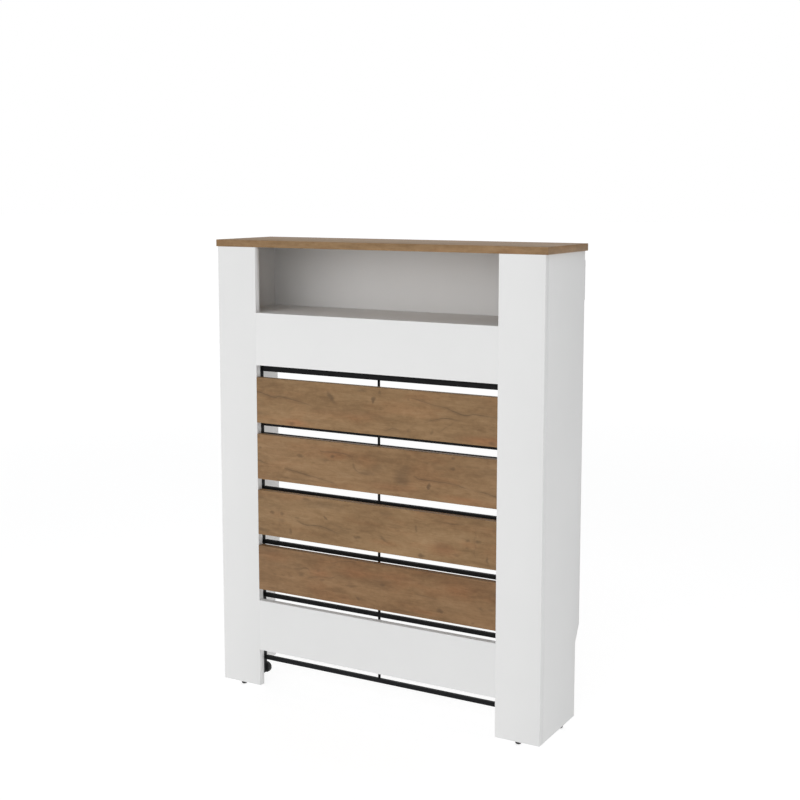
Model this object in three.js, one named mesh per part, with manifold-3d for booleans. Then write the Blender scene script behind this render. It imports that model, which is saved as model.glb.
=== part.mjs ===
// Radiator cover cabinet: a floor-standing board carcass with an open niche under
// the top, a front of white frame boards with four wood-decor slats, and a black
// steel guard grille clamped behind the slats. Open at the back and at the floor.
//
// Millimetres, +Z up. The front faces -Y. The origin is on the floor, at the
// middle of the footprint. Inside the file the pieces are drawn from the front
// left corner of the front boards (x right, y back, z up from the boards' feet)
// and the whole group is shifted once, at the end.

import * as THREE from "three";
import { mergeVertices } from "three/addons/utils/BufferGeometryUtils.js";
import Module from "manifold-3d";

const wasm = await Module();
wasm.setup();

// ---------------------------------------------------------------- dimensions
const BODY_WIDTH = 780; // over the side panels
const BODY_DEPTH = 203; // front face to the rear edge of the side panels
const BODY_HEIGHT = 984; // foot of the boards to the underside of the top
const BOARD = 15; // all carcass boards, the slats and the top
const STILE_WIDTH = 99;

const TOP_SIDE_OVERHANG = 4.5;
const TOP_REAR_OVERHANG = 4.5;
const TOP_THICKNESS = 15;

const LOWER_RAIL = [83, 197.5]; // z from, to
const UPPER_RAIL = [727, 842];
const SHELF_DEPTH = 180;
const BACK_THICKNESS = 3;

const SLAT_HEIGHT = 100;
const SLAT_PITCH = 125.5;
const SLAT_LOWEST = 223.5;
const SLAT_COUNT = 4;

// skirting-board notch at the foot of each side panel's rear edge
const NOTCH_DEPTH = 20;
const NOTCH_STRAIGHT = 161;
const NOTCH_TOP = 197;

// steel guard grille
const POST_X = [87.5, 98.5];
const POST_Y = [15.3, 28.4];
const POST_Z = [23.5, 762];
const BAR_Y = [20.6, 30.0];
const BARS = [
  ["grille_bar_1_top", 711.6, 731.6],
  ["grille_bar_2", 590.2, 598.8],
  ["grille_bar_3", 565.8, 574.4],
  ["grille_bar_4", 444.5, 453.1],
  ["grille_bar_5", 322.8, 331.4],
  ["grille_bar_6", 200.3, 208.9],
  ["grille_bar_7_bottom", 54.5, 63.1],
];
const ROD_RADIUS = 2.8;

// clamp knobs at the posts' feet, screws at their heads
const KNOB_Z = 32.4;
const KNOB_RADIUS = 12;
const KNOB_LENGTH = 9.6;
const STUD_RADIUS = 3;
const HEAD_SCREW_Z = 747;

const GLIDE_HEIGHT = 6;
const GLIDE_RADIUS = 6.5;
const REAR_GLIDE_Y = 123;

const DOWEL_RADIUS = 4;
const DOWEL_LENGTH = 30;

const WALL_PLATE_Z = [881, 966];
const WALL_PLATE_THICKNESS = 3;

const GAP = 0.3; // clearance round a pin in its hole

// ----------------------------------------------------------------- materials
const finish = (color, roughness, metalness = 0) =>
  new THREE.MeshStandardMaterial({ color, roughness, metalness });
const WHITE_BOARD = finish(0xe8e8e6, 0.45);
const OAK_DECOR = finish(0xa58b6c, 0.5);
const BLACK_STEEL = finish(0x1b1b1c, 0.5, 0.3);
const BLACK_PLASTIC = finish(0x141414, 0.45);
const WHITE_PLASTIC = finish(0xe4e4e0, 0.4);
const ZINC = finish(0xb9bdc1, 0.35, 0.9);
const BEECH = finish(0xcba877, 0.7);

// ------------------------------------------------------------------- helpers
const root = new THREE.Group();

function add(name, geometry, material) {
  const mesh = new THREE.Mesh(geometry, material);
  mesh.name = name;
  root.add(mesh);
  return mesh;
}

function box(x0, x1, y0, y1, z0, z1) {
  const g = new THREE.BoxGeometry(x1 - x0, y1 - y0, z1 - z0);
  g.translate((x0 + x1) / 2, (y0 + y1) / 2, (z0 + z1) / 2);
  return g;
}

// Drops all but the positions, merges them, and turns the faces outwards.
function closed(geometry) {
  const g = geometry.index ? geometry.toNonIndexed() : geometry.clone();
  for (const key of Object.keys(g.attributes))
    if (key !== "position") g.deleteAttribute(key);
  const merged = mergeVertices(g, 1e-4);
  const p = merged.attributes.position;
  const old = merged.index.array;
  const kept = [];
  for (let i = 0; i < old.length; i += 3) {
    const [a, b, c] = [old[i], old[i + 1], old[i + 2]];
    if (a !== b && b !== c && c !== a) kept.push(a, b, c);
  }
  const v = (k) => new THREE.Vector3().fromBufferAttribute(p, k);
  let volume = 0;
  for (let i = 0; i < kept.length; i += 3)
    volume += v(kept[i]).dot(v(kept[i + 1]).cross(v(kept[i + 2])));
  if (volume < 0)
    for (let i = 0; i < kept.length; i += 3)
      [kept[i + 1], kept[i + 2]] = [kept[i + 2], kept[i + 1]];
  merged.setIndex(kept);
  return merged;
}

function toManifold(geometry) {
  const g = closed(geometry);
  return new wasm.Manifold(
    new wasm.Mesh({
      numProp: 3,
      vertProperties: new Float32Array(g.attributes.position.array),
      triVerts: new Uint32Array(g.index.array),
    }),
  );
}

function fromManifold(m) {
  const mesh = m.getMesh();
  const g = new THREE.BufferGeometry();
  g.setAttribute(
    "position",
    new THREE.BufferAttribute(new Float32Array(mesh.vertProperties), 3),
  );
  g.setIndex(new THREE.BufferAttribute(new Uint32Array(mesh.triVerts), 1));
  const flat = g.toNonIndexed();
  flat.computeVertexNormals();
  return flat;
}

function cut(geometry, tools) {
  let m = toManifold(geometry);
  for (const tool of tools) m = m.subtract(toManifold(tool));
  return fromManifold(m);
}

// A solid of revolution. profile is [radius, along] pairs; the axis runs along
// "x", "y" or "z" through origin.
function turned(profile, axis, origin, segments = 32) {
  const g = new THREE.LatheGeometry(
    profile.map(([r, a]) => new THREE.Vector2(r, a)),
    segments,
  );
  if (axis === "x") g.rotateZ(-Math.PI / 2);
  if (axis === "z") g.rotateX(Math.PI / 2);
  g.translate(...origin);
  return closed(g);
}

const pin = (radius, from, to, axis, origin, segments = 12) =>
  turned(
    [
      [0, from],
      [radius, from],
      [radius, to],
      [0, to],
    ],
    axis,
    origin,
    segments,
  );

// A straight board or bar with a given outline in the (y, z) plane.
function sideOutline(points, x0, x1) {
  const shape = new THREE.Shape(points.map(([y, z]) => new THREE.Vector2(y, z)));
  const g = new THREE.ExtrudeGeometry(shape, {
    depth: x1 - x0,
    bevelEnabled: false,
  });
  // shape x -> y, shape y -> z, extrusion -> x
  g.applyMatrix4(
    new THREE.Matrix4().set(0, 0, 1, x0, 1, 0, 0, 0, 0, 1, 0, 0, 0, 0, 0, 1),
  );
  return closed(g);
}

const mirrorX = (x) => BODY_WIDTH - x;
const sides = [
  ["left", (x) => x],
  ["right", mirrorX],
];
const span = (f, a, b) => [Math.min(f(a), f(b)), Math.max(f(a), f(b))];

// ------------------------------------------------------------ board positions
const mid = BOARD / 2; // middle of a board's thickness
const openLeft = STILE_WIDTH;
const openRight = BODY_WIDTH - STILE_WIDTH;
const slats = [];
for (let i = 0; i < SLAT_COUNT; i++) {
  const z = SLAT_LOWEST + (SLAT_COUNT - 1 - i) * SLAT_PITCH;
  slats.push([`slat_${i + 1}`, z, z + SLAT_HEIGHT]);
}
const rails = [
  ["upper_rail", ...UPPER_RAIL],
  ["lower_rail", ...LOWER_RAIL],
];
const between = [...rails, ...slats]; // everything dowelled between the stiles
const dowelHalf = DOWEL_LENGTH / 2;
const dowelHole = (x, z) =>
  pin(
    DOWEL_RADIUS + GAP,
    -dowelHalf - 0.5,
    dowelHalf + 0.5,
    "x",
    [x, mid, z],
  );

// ------------------------------------------------------------------- carcass
for (const [side, f] of sides) {
  const x = span(f, 0, BOARD);
  const plateMid = (WALL_PLATE_Z[0] + WALL_PLATE_Z[1]) / 2;
  const edge = f(mid);
  add(
    `${side}_side_panel`,
    cut(
      sideOutline(
        [
          [BOARD, 0],
          [BODY_DEPTH - NOTCH_DEPTH, 0],
          [BODY_DEPTH - NOTCH_DEPTH, NOTCH_STRAIGHT],
          [BODY_DEPTH, NOTCH_TOP],
          [BODY_DEPTH, BODY_HEIGHT],
          [BOARD, BODY_HEIGHT],
        ],
        ...x,
      ),
      [
        // nail hole of the rear glide
        pin(1.5, -1, 13, "z", [edge, REAR_GLIDE_Y, 0], 12),
        // pocket for a wall screw's head, and the plate's two screws
        box(edge - 4.5, edge + 4.5, BODY_DEPTH - 8, BODY_DEPTH + 1, plateMid - 14, plateMid + 12),
        pin(2.05, BODY_DEPTH - 21, BODY_DEPTH + 1, "y", [edge, 0, WALL_PLATE_Z[0] + 14], 12),
        pin(2.05, BODY_DEPTH - 21, BODY_DEPTH + 1, "y", [edge, 0, WALL_PLATE_Z[1] - 14], 12),
      ],
    ),
    WHITE_BOARD,
  );

  const s = span(f, 0, STILE_WIDTH);
  const inner = f(STILE_WIDTH);
  const postMid = f((POST_X[0] + POST_X[1]) / 2);
  add(
    `${side}_stile`,
    cut(box(...s, 0, BOARD, 0, BODY_HEIGHT), [
      ...between.map(([, z0, z1]) => dowelHole(inner, (z0 + z1) / 2)),
      pin(1.5, -1, 13, "z", [f(STILE_WIDTH / 2), mid, 0], 12),
      pin(STUD_RADIUS + GAP, 3.5, BOARD + 1, "y", [postMid, 0, KNOB_Z]),
      pin(2.05, 3, BOARD + 1, "y", [postMid, 0, HEAD_SCREW_Z], 12),
    ]),
    WHITE_BOARD,
  );
}

for (const [name, z0, z1] of between)
  add(
    name,
    cut(box(openLeft, openRight, 0, BOARD, z0, z1), [
      dowelHole(openLeft, (z0 + z1) / 2),
      dowelHole(openRight, (z0 + z1) / 2),
    ]),
    name.startsWith("slat") ? OAK_DECOR : WHITE_BOARD,
  );

for (const [name, z0, z1] of between)
  for (const [side, f] of sides) {
    const c = f(STILE_WIDTH);
    const chamfer = 1;
    add(
      `dowel_${name}_${side}`,
      turned(
        [
          [0, -dowelHalf],
          [DOWEL_RADIUS - chamfer, -dowelHalf],
          [DOWEL_RADIUS, -dowelHalf + chamfer],
          [DOWEL_RADIUS, dowelHalf - chamfer],
          [DOWEL_RADIUS - chamfer, dowelHalf],
          [0, dowelHalf],
        ],
        "x",
        [c, mid, (z0 + z1) / 2],
        12,
      ),
      BEECH,
    );
  }

add(
  "niche_shelf",
  box(BOARD, BODY_WIDTH - BOARD, BOARD, BOARD + SHELF_DEPTH, UPPER_RAIL[1] - BOARD, UPPER_RAIL[1]),
  WHITE_BOARD,
);
add(
  "niche_back_panel",
  box(
    BOARD,
    BODY_WIDTH - BOARD,
    BOARD + SHELF_DEPTH,
    BOARD + SHELF_DEPTH + BACK_THICKNESS,
    UPPER_RAIL[1] - BOARD,
    BODY_HEIGHT,
  ),
  WHITE_BOARD,
);
add(
  "top_panel",
  box(
    -TOP_SIDE_OVERHANG,
    BODY_WIDTH + TOP_SIDE_OVERHANG,
    0,
    BODY_DEPTH + TOP_REAR_OVERHANG,
    BODY_HEIGHT,
    BODY_HEIGHT + TOP_THICKNESS,
  ),
  OAK_DECOR,
);

// Plastic corner blocks: a right-angled block with a sloping face and two screw
// pockets. u and v are the two directions away from the corner.
function cornerBlock(length) {
  const leg = 19;
  const shape = new THREE.Shape();
  shape.moveTo(0, 0);
  shape.lineTo(leg, 0);
  shape.lineTo(leg, 5);
  shape.lineTo(5, leg);
  shape.lineTo(0, leg);
  shape.closePath();
  const body = new THREE.ExtrudeGeometry(shape, {
    depth: length,
    bevelEnabled: false,
  });
  const pockets = [
    // one screw along each leg, each with a wide seat and a narrow way through
    pin(3.6, 4, 30, "y", [10.5, 0, length * 0.3], 12),
    pin(2, -1, 5, "y", [10.5, 0, length * 0.3], 8),
    pin(3.6, 4, 30, "x", [0, 10.5, length * 0.7], 12),
    pin(2, -1, 5, "x", [0, 10.5, length * 0.7], 8),
  ];
  return cut(body, pockets);
}

function placed(geometry, xAxis, yAxis, zAxis, origin) {
  const g = geometry.clone();
  g.applyMatrix4(
    new THREE.Matrix4()
      .makeBasis(
        new THREE.Vector3(...xAxis),
        new THREE.Vector3(...yAxis),
        new THREE.Vector3(...zAxis),
      )
      .setPosition(...origin),
  );
  return closed(g);
}

const BLOCK_LENGTH = 30;
for (const [side, f] of sides) {
  const in_ = side === "left" ? 1 : -1;
  // stile to side panel, one low and one high
  for (const [level, z] of [
    ["low", 250],
    ["high", 640],
  ])
    add(
      `corner_block_${side}_${level}`,
      placed(cornerBlock(BLOCK_LENGTH), [in_, 0, 0], [0, 1, 0], [0, 0, 1], [
        f(BOARD),
        BOARD,
        z,
      ]),
      WHITE_PLASTIC,
    );
  // shelf to side panel, one near the front and one near the back
  for (const [place, y] of [
    ["front", 55],
    ["back", 145],
  ])
    add(
      `shelf_block_${side}_${place}`,
      placed(cornerBlock(BLOCK_LENGTH), [in_, 0, 0], [0, 0, -1], [0, 1, 0], [
        f(BOARD),
        y,
        UPPER_RAIL[1] - BOARD,
      ]),
      WHITE_PLASTIC,
    );
}

// ------------------------------------------------------------ steel grille
for (const [side, f] of sides) {
  const x = span(f, ...POST_X);
  const c = (x[0] + x[1]) / 2;
  add(
    `grille_post_${side}`,
    cut(box(...x, ...POST_Y, ...POST_Z), [
      pin(STUD_RADIUS + GAP, 10, 40, "y", [c, 0, KNOB_Z]),
      pin(2.3, 10, 40, "y", [c, 0, HEAD_SCREW_Z], 16),
    ]),
    BLACK_STEEL,
  );
}
for (const [name, z0, z1] of BARS)
  add(name, box(POST_X[1], mirrorX(POST_X[1]), ...BAR_Y, z0, z1), BLACK_STEEL);
add(
  "grille_centre_rod",
  pin(
    ROD_RADIUS,
    BARS[6][1] + 1,
    BARS[0][2] - 2,
    "z",
    [BODY_WIDTH / 2, BAR_Y[1] + ROD_RADIUS + 0.02, 0],
    16,
  ),
  BLACK_STEEL,
);

for (const [side, f] of sides) {
  const c = f((POST_X[0] + POST_X[1]) / 2);
  const y0 = POST_Y[1] + GAP;
  const y1 = y0 + KNOB_LENGTH;
  // Stud: set in the stile, through the post, into the knob.
  add(
    `knob_stud_${side}`,
    turned(
      [
        [0, 4],
        [STUD_RADIUS, 4],
        [STUD_RADIUS, y1 - 4],
        [STUD_RADIUS - 0.8, y1 - 3.2],
        [0, y1 - 3.2],
      ],
      "y",
      [c, 0, KNOB_Z],
      16,
    ),
    ZINC,
  );
  add(
    `clamp_knob_${side}`,
    turned(
      [
        [0, y1 - 2.6],
        [STUD_RADIUS + GAP, y1 - 2.6],
        [STUD_RADIUS + GAP, y0],
        [KNOB_RADIUS - 0.8, y0],
        [KNOB_RADIUS, y0 + 0.8],
        [KNOB_RADIUS, y1 - 1.6],
        [KNOB_RADIUS - 1.6, y1],
        [0, y1],
      ],
      "y",
      [c, 0, KNOB_Z],
      32,
    ),
    BLACK_PLASTIC,
  );
  // Screw at the post's head, into the back of the stile.
  const h = POST_Y[1] + 0.1;
  add(
    `post_screw_${side}`,
    turned(
      [
        [0, 4.5],
        [1.75, 7],
        [1.75, h],
        [4, h],
        [4, h + 1],
        [3, h + 2.4],
        [0, h + 2.4],
      ],
      "y",
      [c, 0, HEAD_SCREW_Z],
      16,
    ),
    BLACK_STEEL,
  );
}

// ------------------------------------------------------- glides, wall plates
for (const [side, f] of sides)
  for (const [place, x, y] of [
    ["front", f(STILE_WIDTH / 2), mid],
    ["rear", f(mid), REAR_GLIDE_Y],
  ])
    add(
      `glide_${place}_${side}`,
      turned(
        [
          [0, -GLIDE_HEIGHT],
          [3.6, -GLIDE_HEIGHT],
          [5.8, -GLIDE_HEIGHT + 1.4],
          [GLIDE_RADIUS, -GLIDE_HEIGHT + 3.4],
          [GLIDE_RADIUS, -0.05],
          [1.2, -0.05],
          [1.2, 11],
          [0, 12.3],
        ],
        "z",
        [x, y, 0],
        20,
      ),
      BLACK_PLASTIC,
    );

for (const [side, f] of sides) {
  const c = f(mid);
  const [z0, z1] = WALL_PLATE_Z;
  const zm = (z0 + z1) / 2;
  const w = 7.3;
  const r = 3;
  const shape = new THREE.Shape();
  shape.moveTo(-w + r, z0);
  shape.lineTo(w - r, z0);
  shape.absarc(w - r, z0 + r, r, -Math.PI / 2, 0, false);
  shape.lineTo(w, z1 - r);
  shape.absarc(w - r, z1 - r, r, 0, Math.PI / 2, false);
  shape.lineTo(-w + r, z1);
  shape.absarc(-w + r, z1 - r, r, Math.PI / 2, Math.PI, false);
  shape.lineTo(-w, z0 + r);
  shape.absarc(-w + r, z0 + r, r, Math.PI, 1.5 * Math.PI, false);
  // keyhole for a wall screw: round entry below, narrow slot above
  const key = new THREE.Path();
  const a0 = Math.asin(2.2 / 4.4);
  key.absarc(0, zm - 8, 4.4, Math.PI / 2 - a0, Math.PI / 2 + a0 - 2 * Math.PI, true);
  key.lineTo(-2.2, zm + 8);
  key.absarc(0, zm + 8, 2.2, Math.PI, 0, true);
  key.closePath();
  shape.holes.push(key);
  const g = new THREE.ExtrudeGeometry(shape, {
    depth: WALL_PLATE_THICKNESS,
    bevelEnabled: false,
    curveSegments: 5,
  });
  // shape x -> x, shape y -> z, extrusion -> y
  g.applyMatrix4(
    new THREE.Matrix4().set(1, 0, 0, c, 0, 0, 1, BODY_DEPTH + 0.05, 0, 1, 0, 0, 0, 0, 0, 1),
  );
  // countersunk holes, so that the screws lie below the face that meets the wall
  const back = BODY_DEPTH + 0.05;
  const face = back + WALL_PLATE_THICKNESS;
  const countersink = (z) =>
    turned(
      [
        [0, back - 1],
        [2.3, back - 1],
        [2.3, face - 2.2],
        [4.4, face - 0.1],
        [4.4, face + 1],
        [0, face + 1],
      ],
      "y",
      [c, 0, z],
      20,
    );
  add(
    `wall_plate_${side}`,
    cut(closed(g), [countersink(z0 + 14), countersink(z1 - 14)]),
    ZINC,
  );

  for (const [place, z] of [
    ["lower", z0 + 14],
    ["upper", z1 - 14],
  ])
    add(
      `plate_screw_${side}_${place}`,
      turned(
        [
          [0, face - 23],
          [1.7, face - 20],
          [1.7, face - 2.4],
          [3.85, face - 0.35],
          [3.85, face - 0.2],
          [0, face - 0.2],
        ],
        "y",
        [c, 0, z],
        16,
      ),
      ZINC,
    );
}

// ------------------------------------------------------------------- placing
root.position.set(
  -BODY_WIDTH / 2,
  -(BODY_DEPTH + TOP_REAR_OVERHANG) / 2,
  GLIDE_HEIGHT,
);
root.updateMatrixWorld(true);

export default root;
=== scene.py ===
import math

import bmesh
import bpy
import numpy as np
from mathutils import Matrix, Vector


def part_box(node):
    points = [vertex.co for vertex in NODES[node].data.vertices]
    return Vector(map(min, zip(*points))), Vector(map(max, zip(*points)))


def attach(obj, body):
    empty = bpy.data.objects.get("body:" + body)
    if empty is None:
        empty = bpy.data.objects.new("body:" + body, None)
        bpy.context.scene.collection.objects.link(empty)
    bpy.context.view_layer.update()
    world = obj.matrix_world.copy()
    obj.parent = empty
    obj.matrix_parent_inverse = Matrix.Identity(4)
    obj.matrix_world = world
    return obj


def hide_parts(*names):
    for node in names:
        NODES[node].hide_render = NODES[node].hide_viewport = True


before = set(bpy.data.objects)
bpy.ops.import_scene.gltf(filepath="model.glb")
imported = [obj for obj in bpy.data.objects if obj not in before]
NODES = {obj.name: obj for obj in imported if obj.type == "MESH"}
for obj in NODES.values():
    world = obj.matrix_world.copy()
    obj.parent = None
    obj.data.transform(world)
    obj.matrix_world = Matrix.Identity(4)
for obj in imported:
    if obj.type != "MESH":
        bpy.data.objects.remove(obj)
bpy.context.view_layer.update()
scene = bpy.context.scene

# Drawing millimetres (x right, y back, z up, from the front boards' left foot)
# to the row frame in metres.
OFFSET = Vector((-390.0, -103.75, 6.0))
MM = 0.001


def P(x, y, z):
    return Vector(((x + OFFSET.x) * MM, (y + OFFSET.y) * MM, (z + OFFSET.z) * MM))


# ------------------------------------------------------------------ camera
YAW, PITCH = math.radians(29.4292), math.radians(6.9855)
cam_data = bpy.data.cameras.new("camera")
cam_data.sensor_fit = "HORIZONTAL"
cam_data.sensor_width = 36.0
cam_data.lens = 59.973
cam_data.shift_y = -0.06
cam_data.clip_start, cam_data.clip_end = 0.05, 200.0
camera = bpy.data.objects.new("camera", cam_data)
scene.collection.objects.link(camera)
camera.location = (1.40102, -2.46387, 1.11566)
aim = Vector((-math.sin(YAW) * math.cos(PITCH), math.cos(YAW) * math.cos(PITCH), -math.sin(PITCH)))
camera.rotation_euler = aim.to_track_quat("-Z", "Y").to_euler()
scene.camera = camera
scene.view_settings.view_transform = "Standard"
scene.view_settings.look = "None"
scene.view_settings.exposure = 0.0
scene.view_settings.gamma = 1.0


# --------------------------------------------------------------- materials
class Shader:
    """One node material, with short calls for the nodes that it needs."""

    def __init__(self, name):
        self.mat = bpy.data.materials.new(name)
        self.mat.use_nodes = True
        self.tree = self.mat.node_tree
        self.tree.nodes.clear()
        out = self.node("ShaderNodeOutputMaterial")
        self.bsdf = self.node("ShaderNodeBsdfPrincipled")
        self.tree.links.new(self.bsdf.outputs[0], out.inputs[0])
        self.at = self.node("ShaderNodeTexCoord").outputs["Object"]

    def node(self, kind, **props):
        n = self.tree.nodes.new(kind)
        for k, v in props.items():
            setattr(n, k, v)
        return n

    def put(self, socket, value):
        if isinstance(value, bpy.types.NodeSocket):
            self.tree.links.new(value, socket)
        elif value is not None:
            if hasattr(value, "__len__") and len(value) == 3 and socket.type == "RGBA":
                value = (*value, 1.0)
            socket.default_value = value

    def set(self, **values):
        for k, v in values.items():
            self.put(self.bsdf.inputs[k.replace("_", " ")], v)
        return self

    def math(self, op, a, b=None, c=None, clamp=False):
        n = self.node("ShaderNodeMath", operation=op, use_clamp=clamp)
        for i, v in enumerate((a, b, c)):
            if v is not None:
                self.put(n.inputs[i], v)
        return n.outputs[0]

    def vmath(self, op, a, b=None, scale=None):
        n = self.node("ShaderNodeVectorMath", operation=op)
        self.put(n.inputs[0], a)
        if b is not None:
            self.put(n.inputs[1], b)
        if scale is not None:
            self.put(n.inputs["Scale"], scale)
        return n.outputs["Value"] if op in ("LENGTH", "DOT_PRODUCT", "DISTANCE") else n.outputs[0]

    def stretch(self, vec, scale, shift=(0, 0, 0)):
        n = self.node("ShaderNodeMapping", vector_type="POINT")
        self.put(n.inputs["Vector"], vec)
        n.inputs["Location"].default_value = shift
        n.inputs["Scale"].default_value = scale
        return n.outputs[0]

    def noise(self, vec, scale=1.0, detail=3.0, rough=0.5, distort=0.0, color=False):
        n = self.node("ShaderNodeTexNoise", noise_dimensions="3D")
        self.put(n.inputs["Vector"], vec)
        for k, v in (("Scale", scale), ("Detail", detail), ("Roughness", rough), ("Distortion", distort)):
            n.inputs[k].default_value = v
        return n.outputs["Color" if color else "Fac"]

    def voronoi(self, vec, scale=1.0, feature="F1", out="Distance", random=1.0):
        n = self.node("ShaderNodeTexVoronoi", feature=feature)
        self.put(n.inputs["Vector"], vec)
        n.inputs["Scale"].default_value = scale
        n.inputs["Randomness"].default_value = random
        return n.outputs[out]

    def remap(self, v, a, b, c=0.0, d=1.0, smooth=False):
        n = self.node("ShaderNodeMapRange", interpolation_type="SMOOTHSTEP" if smooth else "LINEAR")
        n.clamp = True
        self.put(n.inputs[0], v)
        for i, x in enumerate((a, b, c, d)):
            self.put(n.inputs[i + 1], x)
        return n.outputs[0]

    def mix(self, fac, a, b, blend="MIX"):
        n = self.node("ShaderNodeMix", data_type="RGBA", blend_type=blend)
        self.put(n.inputs[0], fac)
        self.put(n.inputs[6], a)
        self.put(n.inputs[7], b)
        return n.outputs[2]

    def ramp(self, fac, stops):
        n = self.node("ShaderNodeValToRGB")
        self.put(n.inputs[0], fac)
        el = n.color_ramp.elements
        while len(el) < len(stops):
            el.new(0.5)
        for e, (pos, col) in zip(el, stops):
            e.position = pos
            e.color = (*col, 1.0)
        return n.outputs[0]

    def curve(self, v, points):
        n = self.node("ShaderNodeFloatCurve")
        self.put(n.inputs["Value"], v)
        c = n.mapping.curves[0]
        while len(c.points) < len(points):
            c.points.new(0.5, 0.5)
        for p, (x, y) in zip(c.points, points):
            p.location = (x, y)
            p.handle_type = "AUTO"
        n.mapping.update()
        return n.outputs[0]

    def bump(self, height, strength=0.2, distance=0.001, under=None):
        n = self.node("ShaderNodeBump")
        n.inputs["Strength"].default_value = strength
        n.inputs["Distance"].default_value = distance
        self.put(n.inputs["Height"], height)
        if under is not None:
            self.put(n.inputs["Normal"], under)
        return n.outputs[0]

    def xyz(self, vec):
        n = self.node("ShaderNodeSeparateXYZ")
        self.put(n.inputs[0], vec)
        return n.outputs


def grey(v):
    return (v, v, v)


def white_board(name, tint=(0.80, 0.80, 0.795), rough=0.40):
    """Satin melamine: fine pearl grain, faint clouding, a little rub on the gloss."""
    s = Shader(name)
    cloud = s.noise(s.at, 5.0, 3.0, 0.55)
    pearl = s.noise(s.at, 1100.0, 2.0, 0.6)
    rub = s.noise(s.stretch(s.at, (9, 9, 22)), 1.0, 4.0, 0.6)
    fleck = s.remap(s.noise(s.at, 420.0, 1.0, 0.4), 0.68, 0.8, 0.0, 0.5, True)
    base = s.mix(s.remap(cloud, 0.3, 0.7), tuple(c * 0.985 for c in tint), tuple(min(1, c * 1.012) for c in tint))
    base = s.mix(fleck, base, tuple(c * 0.955 for c in tint))
    roughness = s.math("ADD", rough - 0.04, s.math("MULTIPLY", rub, 0.10))
    s.set(Base_Color=base, Roughness=roughness, Specular_IOR_Level=0.28)
    s.set(Normal=s.bump(pearl, 0.10, 0.0002, s.bump(s.noise(s.at, 60.0, 2.0, 0.5), 0.06, 0.0004)))
    return s.mat


def edge_band(name, tint=(0.80, 0.80, 0.795)):
    """The plastic band on the boards' narrow edges: a touch smoother, with faint lines along it."""
    s = Shader(name)
    lines = s.noise(s.stretch(s.at, (40, 900, 40)), 1.0, 2.0, 0.6)
    cloud = s.noise(s.at, 14.0, 2.0, 0.5)
    base = s.mix(s.remap(cloud, 0.3, 0.7), tuple(c * 0.97 for c in tint), tint)
    s.set(Base_Color=base, Roughness=s.math("ADD", 0.30, s.math("MULTIPLY", lines, 0.10)), Specular_IOR_Level=0.5)
    s.set(Normal=s.bump(lines, 0.06, 0.0002))
    return s.mat


def chipboard(name):
    """Bare particle board inside the bores."""
    s = Shader(name)
    warped = s.vmath("ADD", s.at, s.vmath("SCALE", s.noise(s.at, 300, 2, 0.5, color=True), scale=0.0012))
    chips = s.voronoi(s.stretch(warped, (1, 1, 1.6)), 620.0, out="Color")
    v = s.xyz(chips)[0]
    base = s.ramp(v, [(0.0, (0.22, 0.13, 0.065)), (0.45, (0.42, 0.28, 0.16)), (0.8, (0.56, 0.41, 0.25)), (1.0, (0.66, 0.52, 0.35))])
    s.set(Base_Color=base, Roughness=0.85, Specular_IOR_Level=0.2)
    s.set(Normal=s.bump(v, 0.5, 0.0006))
    return s.mat


def hardboard(name):
    """The bare brown side of thin hardboard."""
    s = Shader(name)
    fibre = s.noise(s.stretch(s.at, (260, 260, 900)), 1.0, 5.0, 0.65, 1.2)
    cloud = s.noise(s.at, 9.0, 4.0, 0.55)
    base = s.ramp(
        s.math("ADD", s.math("MULTIPLY", fibre, 0.45), s.math("MULTIPLY", cloud, 0.55)),
        [(0.25, (0.17, 0.105, 0.062)), (0.5, (0.25, 0.16, 0.10)), (0.75, (0.34, 0.235, 0.155))],
    )
    s.set(Base_Color=base, Roughness=0.78, Specular_IOR_Level=0.25)
    s.set(Normal=s.bump(fibre, 0.35, 0.0004))
    return s.mat


def crack(s, x, z, wobble, points, width, dark, fade=0.12):
    """A thin dark line along the grain. points are (x, z, strength) in metres."""
    xs, zs = [p[0] for p in points], [p[1] for p in points]
    x0, x1 = min(xs) - 0.004, max(xs) + 0.004
    z0, z1 = min(zs) - 0.002, max(zs) + 0.002
    t = s.remap(x, x0, x1)
    line = [((p[0] - x0) / (x1 - x0), (p[1] - z0) / (z1 - z0)) for p in points]
    line = [(0.0, line[0][1])] + line + [(1.0, line[-1][1])]
    centre = s.math("MULTIPLY_ADD", s.curve(t, line), z1 - z0, z0)
    force = [((p[0] - x0) / (x1 - x0), p[2]) for p in points]
    force = [(0.0, 0.0)] + force + [(1.0, 0.0)]
    strength = s.curve(t, force)
    inside = s.math("MULTIPLY", s.math("GREATER_THAN", x, x0 + 1e-4), s.math("LESS_THAN", x, x1 - 1e-4))
    off = s.math("ABSOLUTE", s.math("ADD", s.math("SUBTRACT", z, centre), wobble))
    core = s.remap(off, 0.0, width * 0.38, 1.0, 0.0, True)
    soft = s.remap(off, 0.0, width, 0.80, 0.0, True)
    halo = s.remap(off, 0.0, width * 3.2, 0.30, 0.0, True)
    body = s.math("MAXIMUM", s.math("MAXIMUM", core, soft), halo)
    return s.math("MULTIPLY", s.math("MULTIPLY", body, strength), s.math("MULTIPLY", inside, dark))


def blot(s, vec, x, z, rx, rz, turn, dark, hard=0.15):
    """An oval stain or knot at (x, z), rx by rz metres, turned by turn degrees."""
    n = s.node("ShaderNodeMapping", vector_type="TEXTURE")
    s.put(n.inputs["Vector"], vec)
    n.inputs["Location"].default_value = (x, 0, z)
    n.inputs["Rotation"].default_value = (0, math.radians(-turn), 0)
    n.inputs["Scale"].default_value = (rx, 1000.0, rz)
    r = s.vmath("LENGTH", n.outputs[0])
    return s.remap(r, 1.0, hard, 0.0, dark, True)


OAK_DARK = (0.098, 0.056, 0.026)
OAK_MID = (0.300, 0.194, 0.107)


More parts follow.
